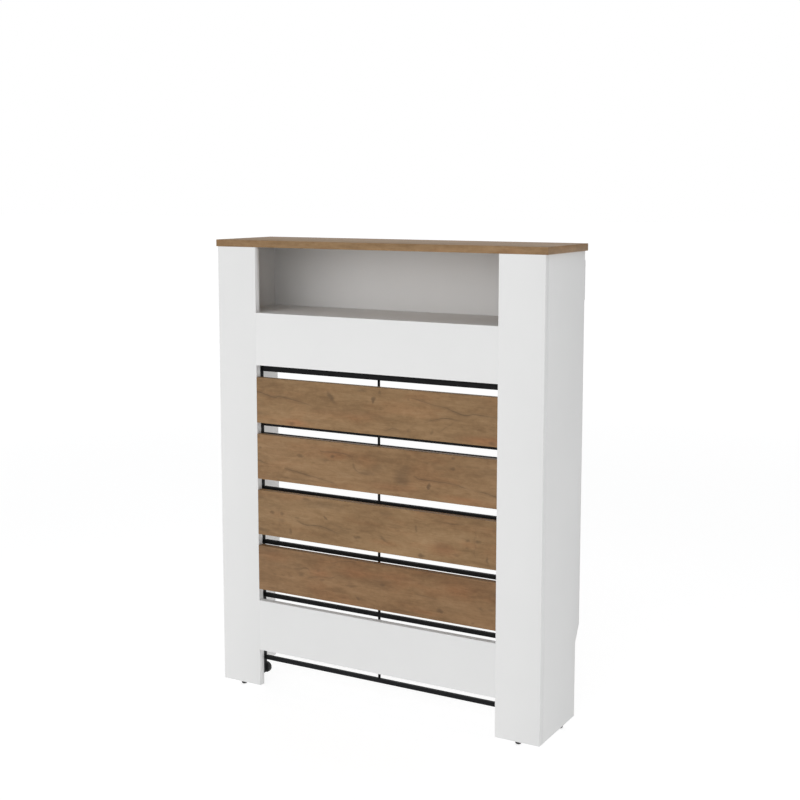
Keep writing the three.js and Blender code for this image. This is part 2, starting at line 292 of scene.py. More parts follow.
def oak_decor(name, shift, cracks=(), blots=(), warm=(), tone_and_sheen=None, ridges=0.5, turned=False):
    """Printed oak: slow light and dark bands along the board, fine pores, splits and small knots."""
    s = Shader(name)
    if turned:
        # the edge band of a short side, its grain running front to back
        turn = s.node("ShaderNodeMapping", vector_type="POINT")
        s.put(turn.inputs["Vector"], s.at)
        turn.inputs["Rotation"].default_value = (0, 0, math.radians(90))
        s.at = turn.outputs[0]
    vec = s.vmath("ADD", s.at, shift)
    bend = s.noise(s.stretch(vec, (3.2, 9, 9)), 1.0, 2.0, 0.5, color=True)
    bend2 = s.noise(s.stretch(vec, (16, 50, 50)), 1.0, 2.0, 0.5, color=True)
    warped = s.vmath("ADD", vec, s.vmath("MULTIPLY", s.vmath("SUBTRACT", bend, (0.5, 0.5, 0.5)), (0.05, 0.030, 0.030)))
    warped = s.vmath("ADD", warped, s.vmath("MULTIPLY", s.vmath("SUBTRACT", bend2, (0.5, 0.5, 0.5)), (0.010, 0.0050, 0.0050)))

    clouds = s.noise(s.stretch(warped, (4.6, 21, 21)), 1.0, 3.0, 0.5)
    bands = s.noise(s.stretch(warped, (7, 62, 62)), 1.0, 4.0, 0.62)
    flakes = s.noise(s.stretch(warped, (24, 88, 88), (2, 4, 6)), 1.0, 4.0, 0.58, 0.9)
    streaks = s.noise(s.stretch(warped, (26, 360, 360)), 1.0, 4.0, 0.6)
    fine = s.noise(s.stretch(warped, (60, 1500, 1500)), 1.0, 2.0, 0.6)
    hue = s.noise(s.stretch(vec, (7, 24, 24), (3.1, 7.7, 1.9)), 1.0, 3.0, 0.55)
    mottle = s.noise(s.stretch(vec, (95, 150, 150), (5, 2, 8)), 1.0, 4.0, 0.6)

    tone_value = s.math("MULTIPLY", clouds, 0.30)
    tone_value = s.math("ADD", tone_value, s.math("MULTIPLY", bands, 0.20))
    tone_value = s.math("ADD", tone_value, s.math("MULTIPLY", flakes, 0.22))
    tone_value = s.math("ADD", tone_value, s.math("MULTIPLY", streaks, 0.13))
    tone_value = s.math("ADD", tone_value, s.math("MULTIPLY", mottle, 0.15))
    base = s.ramp(
        tone_value,
        [
            (0.36, (0.170, 0.092, 0.037)),
            (0.44, (0.226, 0.129, 0.055)),
            (0.50, (0.270, 0.159, 0.071)),
            (0.56, (0.313, 0.188, 0.088)),
            (0.64, (0.362, 0.226, 0.113)),
        ],
    )
    reddish = s.remap(hue, 0.50, 0.66, 0.0, 0.40, True)
    base = s.mix(reddish, base, s.mix(1.0, base, (1.09, 0.93, 0.86), "MULTIPLY"))
    greyish = s.remap(hue, 0.46, 0.30, 0.0, 0.40, True)
    base = s.mix(greyish, base, s.mix(1.0, base, (0.97, 1.03, 1.10), "MULTIPLY"))
    for x, z, rx, rz, turn, amount in warm:
        w = blot(s, warped_face(s), x, z, rx, rz, turn, amount, 0.0)
        base = s.mix(w, base, s.mix(1.0, base, (1.12, 0.90, 0.82), "MULTIPLY"))

    # loose splits that come and go along the board
    ridge = s.noise(s.stretch(warped, (4.5, 46, 46), (11, 3, 5)), 1.0, 2.0, 0.45)
    ridge = s.math("ABSOLUTE", s.math("SUBTRACT", ridge, 0.5))
    line = s.remap(ridge, 0.0, 0.011, 1.0, 0.0, True)
    soft = s.remap(ridge, 0.0, 0.055, 0.30, 0.0, True)
    where = s.remap(s.noise(s.stretch(vec, (10, 30, 30), (1, 9, 4)), 1.0, 2.0, 0.5), 0.56, 0.72, 0.0, ridges, True)
    marks = s.math("MULTIPLY", s.math("MAXIMUM", line, soft), where)

    # pores: short dark dashes
    pores = s.noise(s.stretch(warped, (110, 2600, 2600)), 1.0, 1.0, 0.5)
    pore_mask = s.remap(pores, 0.62, 0.74, 0.0, 1.0, True)
    pore_zone = s.remap(bands, 0.40, 0.60, 0.55, 0.15)
    marks = s.math("MAXIMUM", marks, s.math("MULTIPLY", pore_mask, s.math("MULTIPLY", pore_zone, 0.55)))

    parts = s.xyz(s.at)
    if cracks or blots:
        # only on the wide face, and fading out through the board
        wob = s.math("MULTIPLY", s.math("SUBTRACT", s.noise(s.stretch(s.at, (70, 1, 160)), 1.0, 3.0, 0.6), 0.5), 0.0034)
        for points, width, dark in cracks:
            marks = s.math("MAXIMUM", marks, crack(s, parts[0], parts[2], wob, points, width, dark))
        face = warped_face(s)
        for x, z, rx, rz, turn, dark in blots:
            marks = s.math("MAXIMUM", marks, blot(s, face, x, z, rx, rz, turn, dark))
    marks = s.math("MULTIPLY", marks, s.remap(streaks, 0.30, 0.62, 1.28, 0.96))
    base = s.mix(s.math("MINIMUM", marks, 0.94), base, OAK_DARK)
    base = s.mix(s.remap(fine, 0.35, 0.7, 0.10, 0.0), base, OAK_DARK)
    # On the top panel and its short bands this tone is painted sheen, a lighter and cooler colour in place of reflected
    # light; on the slats it is their own tone.
    if tone_and_sheen:
        base = s.mix(1.0, base, tone_and_sheen, "MULTIPLY")
    s.set(Base_Color=base, Specular_IOR_Level=0.30)
    s.set(Roughness=s.math("ADD", 0.44, s.math("MULTIPLY", streaks, 0.14)))
    # splits and knots are printed; only the pores and the grain are pressed into the paper
    height = s.math("SUBTRACT", s.math("MULTIPLY", streaks, 0.5), s.math("MULTIPLY", pore_mask, 0.7))
    s.set(Normal=s.bump(height, 0.18, 0.0003))
    return s.mat


def warped_face(s):
    """Object coordinates with a small wobble, for knots and stains."""
    w = s.noise(s.stretch(s.at, (60, 60, 90)), 1.0, 3.0, 0.55, color=True)
    w = s.vmath("MULTIPLY", s.vmath("SUBTRACT", w, (0.5, 0.5, 0.5)), (0.016, 0.0, 0.009))
    return s.vmath("ADD", s.at, w)


def powder_coat(name):
    """Matt black powder coat with its fine orange peel."""
    s = Shader(name)
    peel = s.noise(s.at, 1300.0, 2.0, 0.55)
    wide = s.noise(s.at, 90.0, 3.0, 0.5)
    base = s.mix(s.remap(wide, 0.3, 0.7), (0.0070, 0.0074, 0.0080), (0.0115, 0.0120, 0.0127))
    spark = s.remap(s.noise(s.at, 3800.0, 0.0, 0.5), 0.72, 0.82, 0.0, 0.6, True)
    base = s.mix(spark, base, (0.06, 0.06, 0.062))
    s.set(Base_Color=base, Specular_IOR_Level=0.10)
    s.set(Roughness=s.math("ADD", 0.42, s.math("MULTIPLY", wide, 0.16)))
    s.set(Normal=s.bump(peel, 0.28, 0.0003))
    return s.mat


def black_plastic(name):
    s = Shader(name)
    grain = s.voronoi(s.at, 1500.0)
    wide = s.noise(s.at, 160.0, 3.0, 0.5)
    base = s.mix(s.remap(wide, 0.35, 0.7), (0.0120, 0.0120, 0.0125), (0.0240, 0.0240, 0.0245))
    s.set(Base_Color=base, Specular_IOR_Level=0.5)
    s.set(Roughness=s.math("ADD", 0.36, s.math("MULTIPLY", wide, 0.20)))
    s.set(Normal=s.bump(grain, 0.18, 0.0002))
    return s.mat


def white_plastic(name):
    s = Shader(name)
    flow = s.noise(s.stretch(s.at, (120, 120, 40)), 1.0, 3.0, 0.5, 0.8)
    base = s.mix(s.remap(flow, 0.3, 0.7), (0.71, 0.705, 0.675), (0.765, 0.76, 0.735))
    s.set(Base_Color=base, Specular_IOR_Level=0.5)
    s.set(Roughness=s.math("ADD", 0.28, s.math("MULTIPLY", flow, 0.16)))
    s.set(Normal=s.bump(s.noise(s.at, 900.0, 2.0, 0.5), 0.08, 0.0002, s.bump(flow, 0.08, 0.0005)))
    return s.mat


def zinc(name):
    """Bright zinc plate: soft spangle, light brushing, a trace of yellow and blue."""
    s = Shader(name)
    cell = s.voronoi(s.vmath("ADD", s.at, s.vmath("SCALE", s.noise(s.at, 220, 2, 0.5, color=True), scale=0.003)), 210.0, out="Color")
    v = s.xyz(cell)[0]
    brush = s.noise(s.stretch(s.at, (2400, 2400, 90)), 1.0, 3.0, 0.6)
    tint = s.noise(s.at, 45.0, 2.0, 0.5)
    base = s.mix(v, (0.50, 0.51, 0.52), (0.66, 0.665, 0.67))
    base = s.mix(s.remap(tint, 0.45, 0.7, 0.0, 0.45, True), base, (0.66, 0.62, 0.50))
    base = s.mix(s.remap(tint, 0.45, 0.25, 0.0, 0.30, True), base, (0.50, 0.55, 0.64))
    s.set(Base_Color=base, Metallic=1.0)
    s.set(Roughness=s.math("ADD", 0.24, s.math("MULTIPLY", s.math("ADD", brush, v), 0.09)))
    s.set(Normal=s.bump(brush, 0.10, 0.0002))
    return s.mat


def beech(name):
    s = Shader(name)
    rays = s.noise(s.stretch(s.at, (150, 900, 900)), 1.0, 3.0, 0.6)
    fleck = s.remap(s.noise(s.stretch(s.at, (320, 1500, 1500)), 1.0, 1.0, 0.5), 0.60, 0.70, 0.0, 0.7, True)
    base = s.mix(s.remap(rays, 0.3, 0.7), (0.50, 0.325, 0.175), (0.64, 0.45, 0.275))
    base = s.mix(fleck, base, (0.36, 0.20, 0.10))
    s.set(Base_Color=base, Roughness=0.62, Specular_IOR_Level=0.3)
    s.set(Normal=s.bump(rays, 0.3, 0.0004))
    return s.mat


WHITE = white_board("white_melamine")
BAND = edge_band("white_edge_band")
CHIP = chipboard("particle_board_core")
HDF = hardboard("hardboard_back")
STEEL = powder_coat("black_powder_coat")
PLASTIC = black_plastic("black_moulded_plastic")
NYLON = white_plastic("white_moulded_plastic")
ZINC = zinc("zinc_plate")
BEECH = beech("beech_dowel")
# The niche back's white is set lighter than the boards' white (0.82 against 0.80): painted light that brightens the
# shaded niche.
NICHE_WHITE_PAINTED_LIGHT = white_board("white_hardboard_painted_light", (0.82, 0.82, 0.815), 0.46)

# ------------------------------------------------- where the slats' marks lie
# Splits, knots and stains in drawing millimetres along (x) and up (z) each slat.
MARKS = {
    "slat_1": dict(
        shift=(0.37, 0.2, 0.11),
        cracks=[
            ([(99, 669, 1.0), (124, 664, 0.95), (147, 660, 1.0), (157, 662, 0.85), (186, 659, 0.85), (219, 654, 0.5), (240, 650, 0.2)], 2.6, 0.80),
            ([(489, 683, 0.35), (514, 679, 0.7), (539, 673.5, 0.5), (563, 671, 0.65), (576, 666.5, 0.95), (596, 661, 1.0), (612, 658.5, 0.95), (631, 662, 0.85), (653, 660.5, 0.7), (680, 659, 0.5)], 2.5, 0.80),
            ([(518, 637, 0.3), (531, 641, 0.6), (547, 645, 0.8), (563, 648.5, 1.0), (580, 648.5, 0.7), (596, 647, 0.25)], 2.1, 0.74),
            ([(420, 610.5, 0.3), (432, 613, 0.8), (444, 617, 0.95), (453, 616, 0.6), (461, 612, 0.2)], 2.4, 0.66),
            ([(547, 618, 0.3), (563, 628, 0.6), (576, 636, 0.6), (592, 646, 0.3)], 2.8, 0.44),
        ],
        blots=[
            (291, 672, 20, 7.5, -51, 0.62), (286, 680, 9, 5, -60, 0.35), (395.5, 672.5, 12, 5.0, 69, 0.60), (411, 690, 8, 4.5, -50, 0.45), (366, 690, 17, 4.5, 2, 0.32),
            (479, 681, 6, 4, 0, 0.26), (480, 616, 8, 6, 0, 0.26), (533, 616, 12, 4.5, 58, 0.32), (192, 606, 15, 5.5, 4, 0.48), (669, 606, 14, 5.5, 0, 0.42),
            (330, 640, 150, 13, 0, 0.17), (108, 622, 30, 8, 0, 0.22), (590, 612, 80, 12, 6, 0.13), (250, 618, 60, 6, 3, 0.12), (513, 680, 20, 6, -9, 0.30),
        ],
        warm=[(198, 607, 60, 12, 0, 0.9), (650, 610, 70, 14, 0, 0.7), (330, 634, 120, 18, 0, 0.35)],
    ),
    "slat_2": dict(
        shift=(1.91, 0.7, 0.63),
        tone_and_sheen=(0.985, 0.965, 0.965),
        cracks=[
            ([(99, 516.5, 0.9), (120, 511.5, 0.6), (134, 509, 0.1)], 2.3, 0.74),
            ([(174, 505, 0.8), (192, 502, 1.0), (211, 499.5, 1.0), (231, 495.5, 0.9), (252, 493.5, 0.6), (268, 490.5, 0.5), (288, 487.5, 0.6), (301, 485.5, 0.3)], 2.6, 0.78),
            ([(239, 558, 0.3), (262, 555, 0.4), (266, 551.5, 0.7), (284, 552, 0.85), (301, 553.3, 1.0), (325, 552, 0.95), (342, 549, 0.4)], 2.3, 0.72),
            ([(342, 547, 0.3), (348, 531, 0.7), (354, 519, 0.8), (370, 515, 0.85), (391, 515.5, 0.75), (402, 517, 0.2)], 3.0, 0.58),
            ([(493, 521, 0.5), (504, 517, 0.85), (530, 516.5, 0.8), (555, 516, 0.9), (580, 515.5, 0.9), (602, 511.5, 0.8), (630, 506, 0.25), (653, 505, 0.85), (680, 500, 0.9)], 2.3, 0.78),
            ([(588, 554, 0.3), (630, 554.5, 0.5), (678, 553, 0.4)], 3.0, 0.28),
            ([(588, 540, 0.3), (635, 539, 0.5), (678, 537.5, 0.5)], 3.2, 0.26),
        ],
        blots=[
            (296, 544, 8, 5.0, 0, 0.62), (211.5, 537, 13, 4.8, -4, 0.44), (274, 533, 18, 7, 0, 0.20), (350, 527, 13, 5, -70, 0.36), (378, 516, 34, 8, 0, 0.40),
            (403, 531, 26, 12, 0, 0.24), (464, 514, 29, 30, 20, 0.42), (458, 508, 14, 14, 0, 0.26), (474, 531, 24, 15, -20, 0.30), (528, 504, 11, 4.6, 74, 0.66),
            (583, 547, 8, 5.5, -12, 0.52), (583.5, 568.5, 6, 4, 0, 0.48), (327, 571, 9, 3, 0, 0.40), (105, 570, 5, 5, 0, 0.40), (105, 545, 6, 4, 0, 0.36),
            (295, 486, 10, 4, -8, 0.42), (540, 536, 14, 5, 30, 0.16), (200, 484, 120, 4, 0, 0.22), (420, 497, 70, 16, 0, 0.12), (250, 559, 40, 5, 0, 0.16),
        ],
        warm=[(440, 492, 90, 14, 0, 0.5), (600, 486, 80, 10, 0, 0.5), (300, 548, 60, 16, 0, 0.4), (380, 540, 40, 20, 0, 0.35)],
    ),
    "slat_3": dict(
        shift=(3.07, 1.3, 1.29),
        cracks=[
            ([(198, 393.5, 0.3), (215, 387.5, 0.8), (231, 385.5, 0.9), (252, 387, 1.0), (272, 385.5, 1.0), (288, 382, 0.8), (309, 378, 0.35)], 2.5, 0.80),
            ([(284, 396.5, 0.3), (309, 392.5, 0.6), (334, 389.5, 0.5), (354, 389.5, 0.1)], 3.0, 0.46),
            ([(547, 434, 0.35), (575, 432, 0.8), (602, 434, 0.65), (612, 436, 0.1)], 2.5, 0.58),
            ([(99, 433, 0.7), (120, 432.5, 0.6), (130, 432, 0.1)], 2.5, 0.52),
            ([(556, 442, 0.3), (585, 439, 0.6), (607, 438, 0.3)], 2.3, 0.38),
        ],
        blots=[
            (137, 402.5, 7, 5.4, 20, 0.52), (160, 387, 16, 7, 0, 0.20), (633, 395, 3.2, 54, 0, 0.20), (154, 388, 3.2, 40, 0, 0.16), (164.5, 402.5, 7, 5, -20, 0.50), (204, 398.5, 11, 3.6, 0, 0.32), (277, 406.5, 9.5, 5.0, -30, 0.60),
            (354, 375, 13, 5.2, 4, 0.52), (420, 379, 17, 5.2, -34, 0.44), (454.5, 401.5, 11, 3, 0, 0.26),
            (497, 411.5, 12, 4.6, 88, 0.38), (559, 379, 38, 22, -8, 0.28), (510, 356, 12, 7, 0, 0.62), (592, 368.5, 13, 5, 0, 0.30),
            (616.5, 401.5, 8.5, 5, 0, 0.52), (641, 402, 9, 5, 0, 0.52), (616, 387, 8, 4, 0, 0.34), (661.5, 367, 12, 5, 88, 0.48),
            (184, 367, 12, 5, 88, 0.44), (112, 361, 24, 5.5, 0, 0.38), (262, 436, 76, 13, 0, 0.22), (227, 442, 20, 4.5, -6, 0.42), (310, 432, 22, 12, 0, 0.16),
            (424, 434, 26, 11, 0, 0.24), (423, 431, 18, 4, 10, 0.26), (676, 430, 8, 10, 0, 0.22),
        ],
        warm=[(562, 374, 60, 20, 0, 0.7), (150, 400, 40, 12, 0, 0.3), (420, 372, 50, 10, 0, 0.4), (620, 394, 40, 14, 0, 0.4)],
    ),
    "slat_4": dict(
        shift=(4.63, 2.1, 2.37),
        tone_and_sheen=(0.925, 0.875, 0.855),
        cracks=[
            ([(290, 310, 0.5), (309, 315, 0.8), (330, 318.5, 0.9), (350, 320.5, 0.7)], 2.4, 0.62),
            ([(196, 284, 0.3), (210, 285, 0.85), (223, 289, 0.9), (231, 287, 0.7), (237, 280, 0.4)], 2.5, 0.60),
            ([(231, 268, 0.6), (247, 272.5, 0.85), (268, 275, 0.75), (288, 276, 0.75), (301, 282, 0.6), (309, 286, 0.3)], 2.5, 0.60),
            ([(497, 272, 0.35), (514, 271, 0.8), (543, 268.5, 0.75), (550, 268, 0.1)], 2.3, 0.60),
            ([(243, 290, 0.3), (262, 288, 0.5), (275, 294, 0.4), (290, 300, 0.2)], 2.8, 0.34),
            ([(535, 279, 0.2), (560, 279, 0.5), (584, 278, 0.2)], 2.2, 0.36),
        ],
        blots=[
            (211, 273.5, 11, 9, 30, 0.36), (266, 268, 11, 5.5, 0, 0.34), (256, 288, 9, 6, 40, 0.26), (342, 266, 22, 3.8, 3, 0.34), (338, 272, 14, 8, 0, 0.18),
            (418, 280, 13, 6.6, 12, 0.52), (405, 283, 66, 22, 0, 0.20), (330, 288, 70, 22, 10, 0.13), (358, 240.5, 7.5, 5.6, 0, 0.60), (351, 246, 6, 4, 0, 0.20),
            (554, 245, 9.5, 6, -8, 0.60), (627, 231, 6, 4.4, 0, 0.34), (647, 265, 7, 4.4, 0, 0.32), (670, 265, 9, 4.4, 0, 0.32), (141, 264.5, 7, 3.6, 0, 0.26),
            (165.5, 265, 7, 3.6, 0, 0.26), (184, 265, 7, 4, 0, 0.28), (481, 230, 44, 3.8, 2, 0.30), (120, 316, 60, 12, 0, 0.17), (640, 315, 90, 13, 0, 0.19),
            (470, 300, 90, 8, -4, 0.12), (600, 270, 60, 5, 0, 0.12), (206, 294, 14, 4, 0, 0.16),
        ],
        warm=[(262, 282, 44, 16, 0, 0.6), (350, 296, 60, 16, 0, 0.6), (440, 300, 90, 18, 0, 0.6), (600, 300, 90, 24, 0, 0.5), (520, 236, 60, 8, 0, 0.4), (140, 305, 60, 20, 0, 0.4)],
    ),
}


def slat_oak(name):
    m = MARKS[name]
    off = OFFSET * MM
    cracks = [
        ([(x * MM + off.x, z * MM + off.z, f) for x, z, f in pts], w * MM, d) for pts, w, d in m["cracks"]
    ]
    blots = [(x * MM + off.x, z * MM + off.z, rx * MM, rz * MM, a, d) for x, z, rx, rz, a, d in m["blots"]]
    warm = [(x * MM + off.x, z * MM + off.z, rx * MM, rz * MM, a, d) for x, z, rx, rz, a, d in m["warm"]]
    return oak_decor("oak_decor_" + name, m["shift"], cracks, blots, warm, m.get("tone_and_sheen"), ridges=0.26)


OAK = {n: slat_oak(n) for n in MARKS}
# The top panel and its short bands get a lighter, cooler tone than the slats: painted sheen, standing in for the white
# reflection and the stronger light from above on the top.
OAK["top_panel"] = oak_decor("oak_decor_top", (7.3, 3.4, 5.1), tone_and_sheen=(1.06, 1.09, 1.125), ridges=0.28)
OAK["short_band"] = oak_decor("oak_decor_short_band", (2.6, 5.2, 0.4), tone_and_sheen=(1.01, 1.03, 1.06), ridges=0.3, turned=True)


# ------------------------------------------------------------------ meshes
def new_object(name, mesh, body="cabinet", mats=(), nodes=()):
    obj = bpy.data.objects.new(name, mesh)
    scene.collection.objects.link(obj)
    for m in mats:
        if m.name not in [x.name for x in obj.data.materials if x]:
            obj.data.materials.append(m)
    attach(obj, body)
    if nodes:
        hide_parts(*nodes)
    return obj


def finish_mesh(bm, name):
    bmesh.ops.recalc_face_normals(bm, faces=bm.faces)
    for f in bm.faces:
        f.smooth = True
    me = bpy.data.meshes.new(name)
    bm.to_mesh(me)
    bm.free()
    return me


def sharpen(me, degrees=32):
    """Marks the edges sharper than that, so that smooth shading stops there."""
    bm = bmesh.new()
    bm.from_mesh(me)
    limit = math.radians(degrees)
    for e in bm.edges:
        if len(e.link_faces) == 2 and e.calc_face_angle(0.0) > limit:
            e.smooth = False
    bm.to_mesh(me)
    bm.free()
    return me


def from_cad(node, name, mats, pick, weight=None, width=0.0004, segments=2, body="cabinet"):
    """The CAD piece's own shape with clean flat faces, soft edges and a material chosen face by face."""
    bm = bmesh.new()
    bm.from_mesh(NODES[node].data)
    bmesh.ops.remove_doubles(bm, verts=bm.verts, dist=2e-6)
    bmesh.ops.dissolve_limit(bm, angle_limit=math.radians(0.4), verts=bm.verts, edges=bm.edges)
    bmesh.ops.recalc_face_normals(bm, faces=bm.faces)
    lo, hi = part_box(node)
    layer = bm.edges.layers.float.new("bevel_weight_edge")
    for e in bm.edges:
        if len(e.link_faces) == 2 and e.calc_face_angle(0.0) > math.radians(35):
            mid = (e.verts[0].co + e.verts[1].co) / 2
            e[layer] = 1.0 if weight is None else weight(e, mid, lo, hi)
    for f in bm.faces:
        f.smooth = True
        f.material_index = pick(f, lo, hi)
    me = bpy.data.meshes.new(name)
    bm.to_mesh(me)
    bm.free()
    obj = new_object(name, me, body, mats, [node])
    mod = obj.modifiers.new("edges", "BEVEL")
    mod.width = width
    mod.segments = segments
    mod.limit_method = "WEIGHT"
    mod.offset_type = "OFFSET"
    mod.use_clamp_overlap = False
    mod.loop_slide = False
    mod.harden_normals = True
    return obj


def on_box(co, lo, hi, eps=2e-5):
    return any(abs(co[i] - lo[i]) < eps or abs(co[i] - hi[i]) < eps for i in range(3))


def board(node, thin, outline_axis=None, face=0, band=1, core=2):
    """Picks decor, edge band or bare core for a board whose thin direction is thin."""

    def pick(f, lo, hi):
        c = f.calc_center_median()
        n = f.normal
        flat = max(range(3), key=lambda i: abs(n[i]))
        outer = abs(n[flat]) > 0.999 and (abs(c[flat] - lo[flat]) < 2e-5 or abs(c[flat] - hi[flat]) < 2e-5)
        if outer and flat == thin:
            return face
        if outer:
            return band
        # the notch of a side panel is banded too, while bores and pockets are bare
        if outline_axis is not None and f.calc_area() > 2e-4:
            return band
        return core

    return pick


def edge_weight(joints=(), fine=0.3):
    """Full weight on free edges, a hairline on joints between flush boards and round bores."""

    def weight(e, mid, lo, hi):
        for axis, at in joints:
            if abs(e.verts[0].co[axis] - at) < 2e-5 and abs(e.verts[1].co[axis] - at) < 2e-5:
                return fine
        sides = sum(
            1 for i in range(3) if abs(mid[i] - lo[i]) < 2e-5 or abs(mid[i] - hi[i]) < 2e-5
        )
        return 1.0 if sides >= 2 or e.calc_length() > 0.02 else 0.25

    return weight


X_LEFT, X_RIGHT = P(99, 0, 0).x, P(681, 0, 0).x
boards = {}
for side in ("left", "right"):
    boards[side + "_stile"] = from_cad(
        side + "_stile", side + "_stile_board", [WHITE, BAND, CHIP], board(side + "_stile", 1),
        edge_weight([(0, X_LEFT if side == "left" else X_RIGHT)], 0.3),
    )
    boards[side + "_side_panel"] = from_cad(
        side + "_side_panel", side + "_side_board", [WHITE, BAND, CHIP], board(side + "_side_panel", 0, 0),
        edge_weight(),
    )
for n in ("upper_rail", "lower_rail"):
    boards[n] = from_cad(
        n, n + "_board", [WHITE, BAND, CHIP], board(n, 1), edge_weight([(0, X_LEFT), (0, X_RIGHT)], 0.12)
    )
boards["niche_shelf"] = from_cad("niche_shelf", "niche_shelf_board", [WHITE, BAND, CHIP], board("niche_shelf", 2), edge_weight())


def back_pick(f, lo, hi):
    return 0 if f.normal.y < -0.9 else 1


# The front face takes the lighter white, painted light for the shaded niche; the rest is bare hardboard.
boards["niche_back_panel"] = from_cad(
    "niche_back_panel", "niche_back_board", [NICHE_WHITE_PAINTED_LIGHT, HDF], back_pick, edge_weight(), width=0.0002
)
for n in ("slat_1", "slat_2", "slat_3", "slat_4"):
    boards[n] = from_cad(
        n, n + "_board", [OAK[n], CHIP], board(n, 1, face=0, band=0, core=1), edge_weight()
    )


def top_pick(f, lo, hi):
    # the short sides carry their own band; the face and the long bands share one grain
    if abs(f.normal.x) > 0.999 and f.calc_area() > 1e-3:
        return 2
    return board("top_panel", 2, face=0, band=0, core=1)(f, lo, hi)


boards["top_panel"] = from_cad(
    "top_panel", "top_board", [OAK["top_panel"], CHIP, OAK["short_band"]], top_pick,
    edge_weight(), width=0.0005,
)

# ------------------------------------------------------------- steel grille
steel = {}
for n in sorted(NODES):
    if n.startswith("grille_bar") or n.startswith("grille_post"):
        steel[n] = from_cad(
            n, n.replace("grille", "steel"), [STEEL], lambda f, lo, hi: 0,
            lambda e, mid, lo, hi: 1.0 if e.calc_length() > 0.006 else 0.25,
            width=0.0011, segments=3,
        )


def revolve(name, profile, origin, axis, segments=48, radial=None, mats=(), twist=0.0):
    """A solid of revolution about x, y or z through origin (drawing mm). profile holds
    (radius, along, share) with share of the radial pattern that reaches that ring."""
    bm = bmesh.new()
    rings = []
    for p in profile:
        r, h = p[0], p[1]
        share = p[2] if len(p) > 2 else 0.0
        if r < 1e-6:
            rings.append([bm.verts.new(place(0, 0, h, axis, origin))])
            continue
        ring = []
        for i in range(segments):
            a = 2 * math.pi * i / segments
            rr = r + (share * radial(a, h) if radial and share else 0.0)
            ring.append(bm.verts.new(place(rr * math.cos(a), rr * math.sin(a), h, axis, origin)))
        rings.append(ring)
    for a, b in zip(rings, rings[1:]):
        if len(a) == 1 and len(b) == 1:
            continue
        for i in range(segments):
            j = (i + 1) % segments
            if len(a) == 1:
                bm.faces.new((a[0], b[j], b[i]))
            elif len(b) == 1:
                bm.faces.new((a[i], a[j], b[0]))
            else:
                bm.faces.new((a[i], a[j], b[j], b[i]))
    return finish_mesh(bm, name)


def place(u, v, h, axis, origin):
    if axis == "x":
        q = (origin[0] + h, origin[1] + u, origin[2] + v)
    elif axis == "y":
        q = (origin[0] + u, origin[1] + h, origin[2] + v)
    else:
        q = (origin[0] + u, origin[1] + v, origin[2] + h)
    return P(*q)


def thread(profile, pitch, depth, h0, h1, rows=6):
    """Adds a screw thread between h0 and h1: the profile gets close rings with a share of the helix."""
    out = []
    steps = int((h1 - h0) / pitch * rows)
    body = [p for p in profile if p[1] <= h0 + 1e-9]
    tail = [p for p in profile if p[1] >= h1 - 1e-9]
    r0, r1 = body[-1][0], tail[0][0]
    out += body
    for k in range(1, steps):
        t = k / steps
        fade = min(1.0, 4 * t, 4 * (1 - t))
        out.append((r0 + (r1 - r0) * t, h0 + (h1 - h0) * t, fade))
    out += tail
    cut = lambda a, h: -depth * (0.5 + 0.5 * math.cos(2 * math.pi * (h / pitch) - a))
    return out, cut


# centre rod
rod_y = 30.0 + 2.8 + 0.02
bars = {n: [c / MM for c in (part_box(n)[0].z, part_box(n)[1].z)] for n in NODES if n.startswith("grille_bar")}
bars = {n: (a - OFFSET.z, b - OFFSET.z) for n, (a, b) in bars.items()}
z_low = min(a for a, b in bars.values()) + 1
z_high = max(b for a, b in bars.values()) - 2
rod = revolve(
    "steel_centre_rod",
    [(0, z_low), (2.1, z_low), (2.8, z_low + 0.7), (2.8, z_high - 0.7), (2.1, z_high), (0, z_high)],
    (390, rod_y, 0), "z", 32,
)
new_object("steel_centre_rod", sharpen(rod, 60), mats=[STEEL], nodes=["grille_centre_rod"])


def bead(length, radius, seed, squash=1.0):
    """Half-round weld bead profile with ripples, along its axis."""
    pts = []
    n = max(10, int(length / 0.45))
    for k in range(n + 1):
        t = k / n
        h = (t - 0.5) * length
        env = math.sqrt(max(0.0, 1 - (2 * t - 1) ** 4))
        rip = 1 + 0.10 * math.cos(2 * math.pi * h / 1.35 + seed) + 0.05 * math.sin(5.1 * h + 2 * seed)
        pts.append((max(0.0, radius * env * rip), h))
    pts[0] = (0, pts[0][1])
    pts[-1] = (0, pts[-1][1])
    return pts


def join(name, meshes):
    bm = bmesh.new()
    for m in meshes:
        bm.from_mesh(m)
        bpy.data.meshes.remove(m)
    me = bpy.data.meshes.new(name)
    bm.to_mesh(me)
    bm.free()
    return me


for side, xs, xin in (("left", 98.5, 1), ("right", 681.5, -1)):
    beads = []
    for k, (n, (a, b)) in enumerate(sorted(bars.items())):
        mid = (a + b) / 2
        beads.append(revolve("b", bead(b - a - 0.8, 1.15, k + 3 * xin), (xs + 0.1 * xin, 28.75, mid), "z", 12))
    new_object("weld_beads_" + side, join("weld_beads_" + side, beads), mats=[STEEL])
beads = []
for k, (n, (a, b)) in enumerate(sorted(bars.items())):
    lo_z, hi_z = max(a, z_low) + 0.5, min(b, z_high) - 0.5
    for q in (-1, 1):
        beads.append(revolve("b", bead(hi_z - lo_z, 0.8, k * 1.7 + q), (390 + q * 2.25, 30.35, (lo_z + hi_z) / 2), "z", 10))
new_object("weld_beads_rod", join("weld_beads_rod", beads), mats=[STEEL])


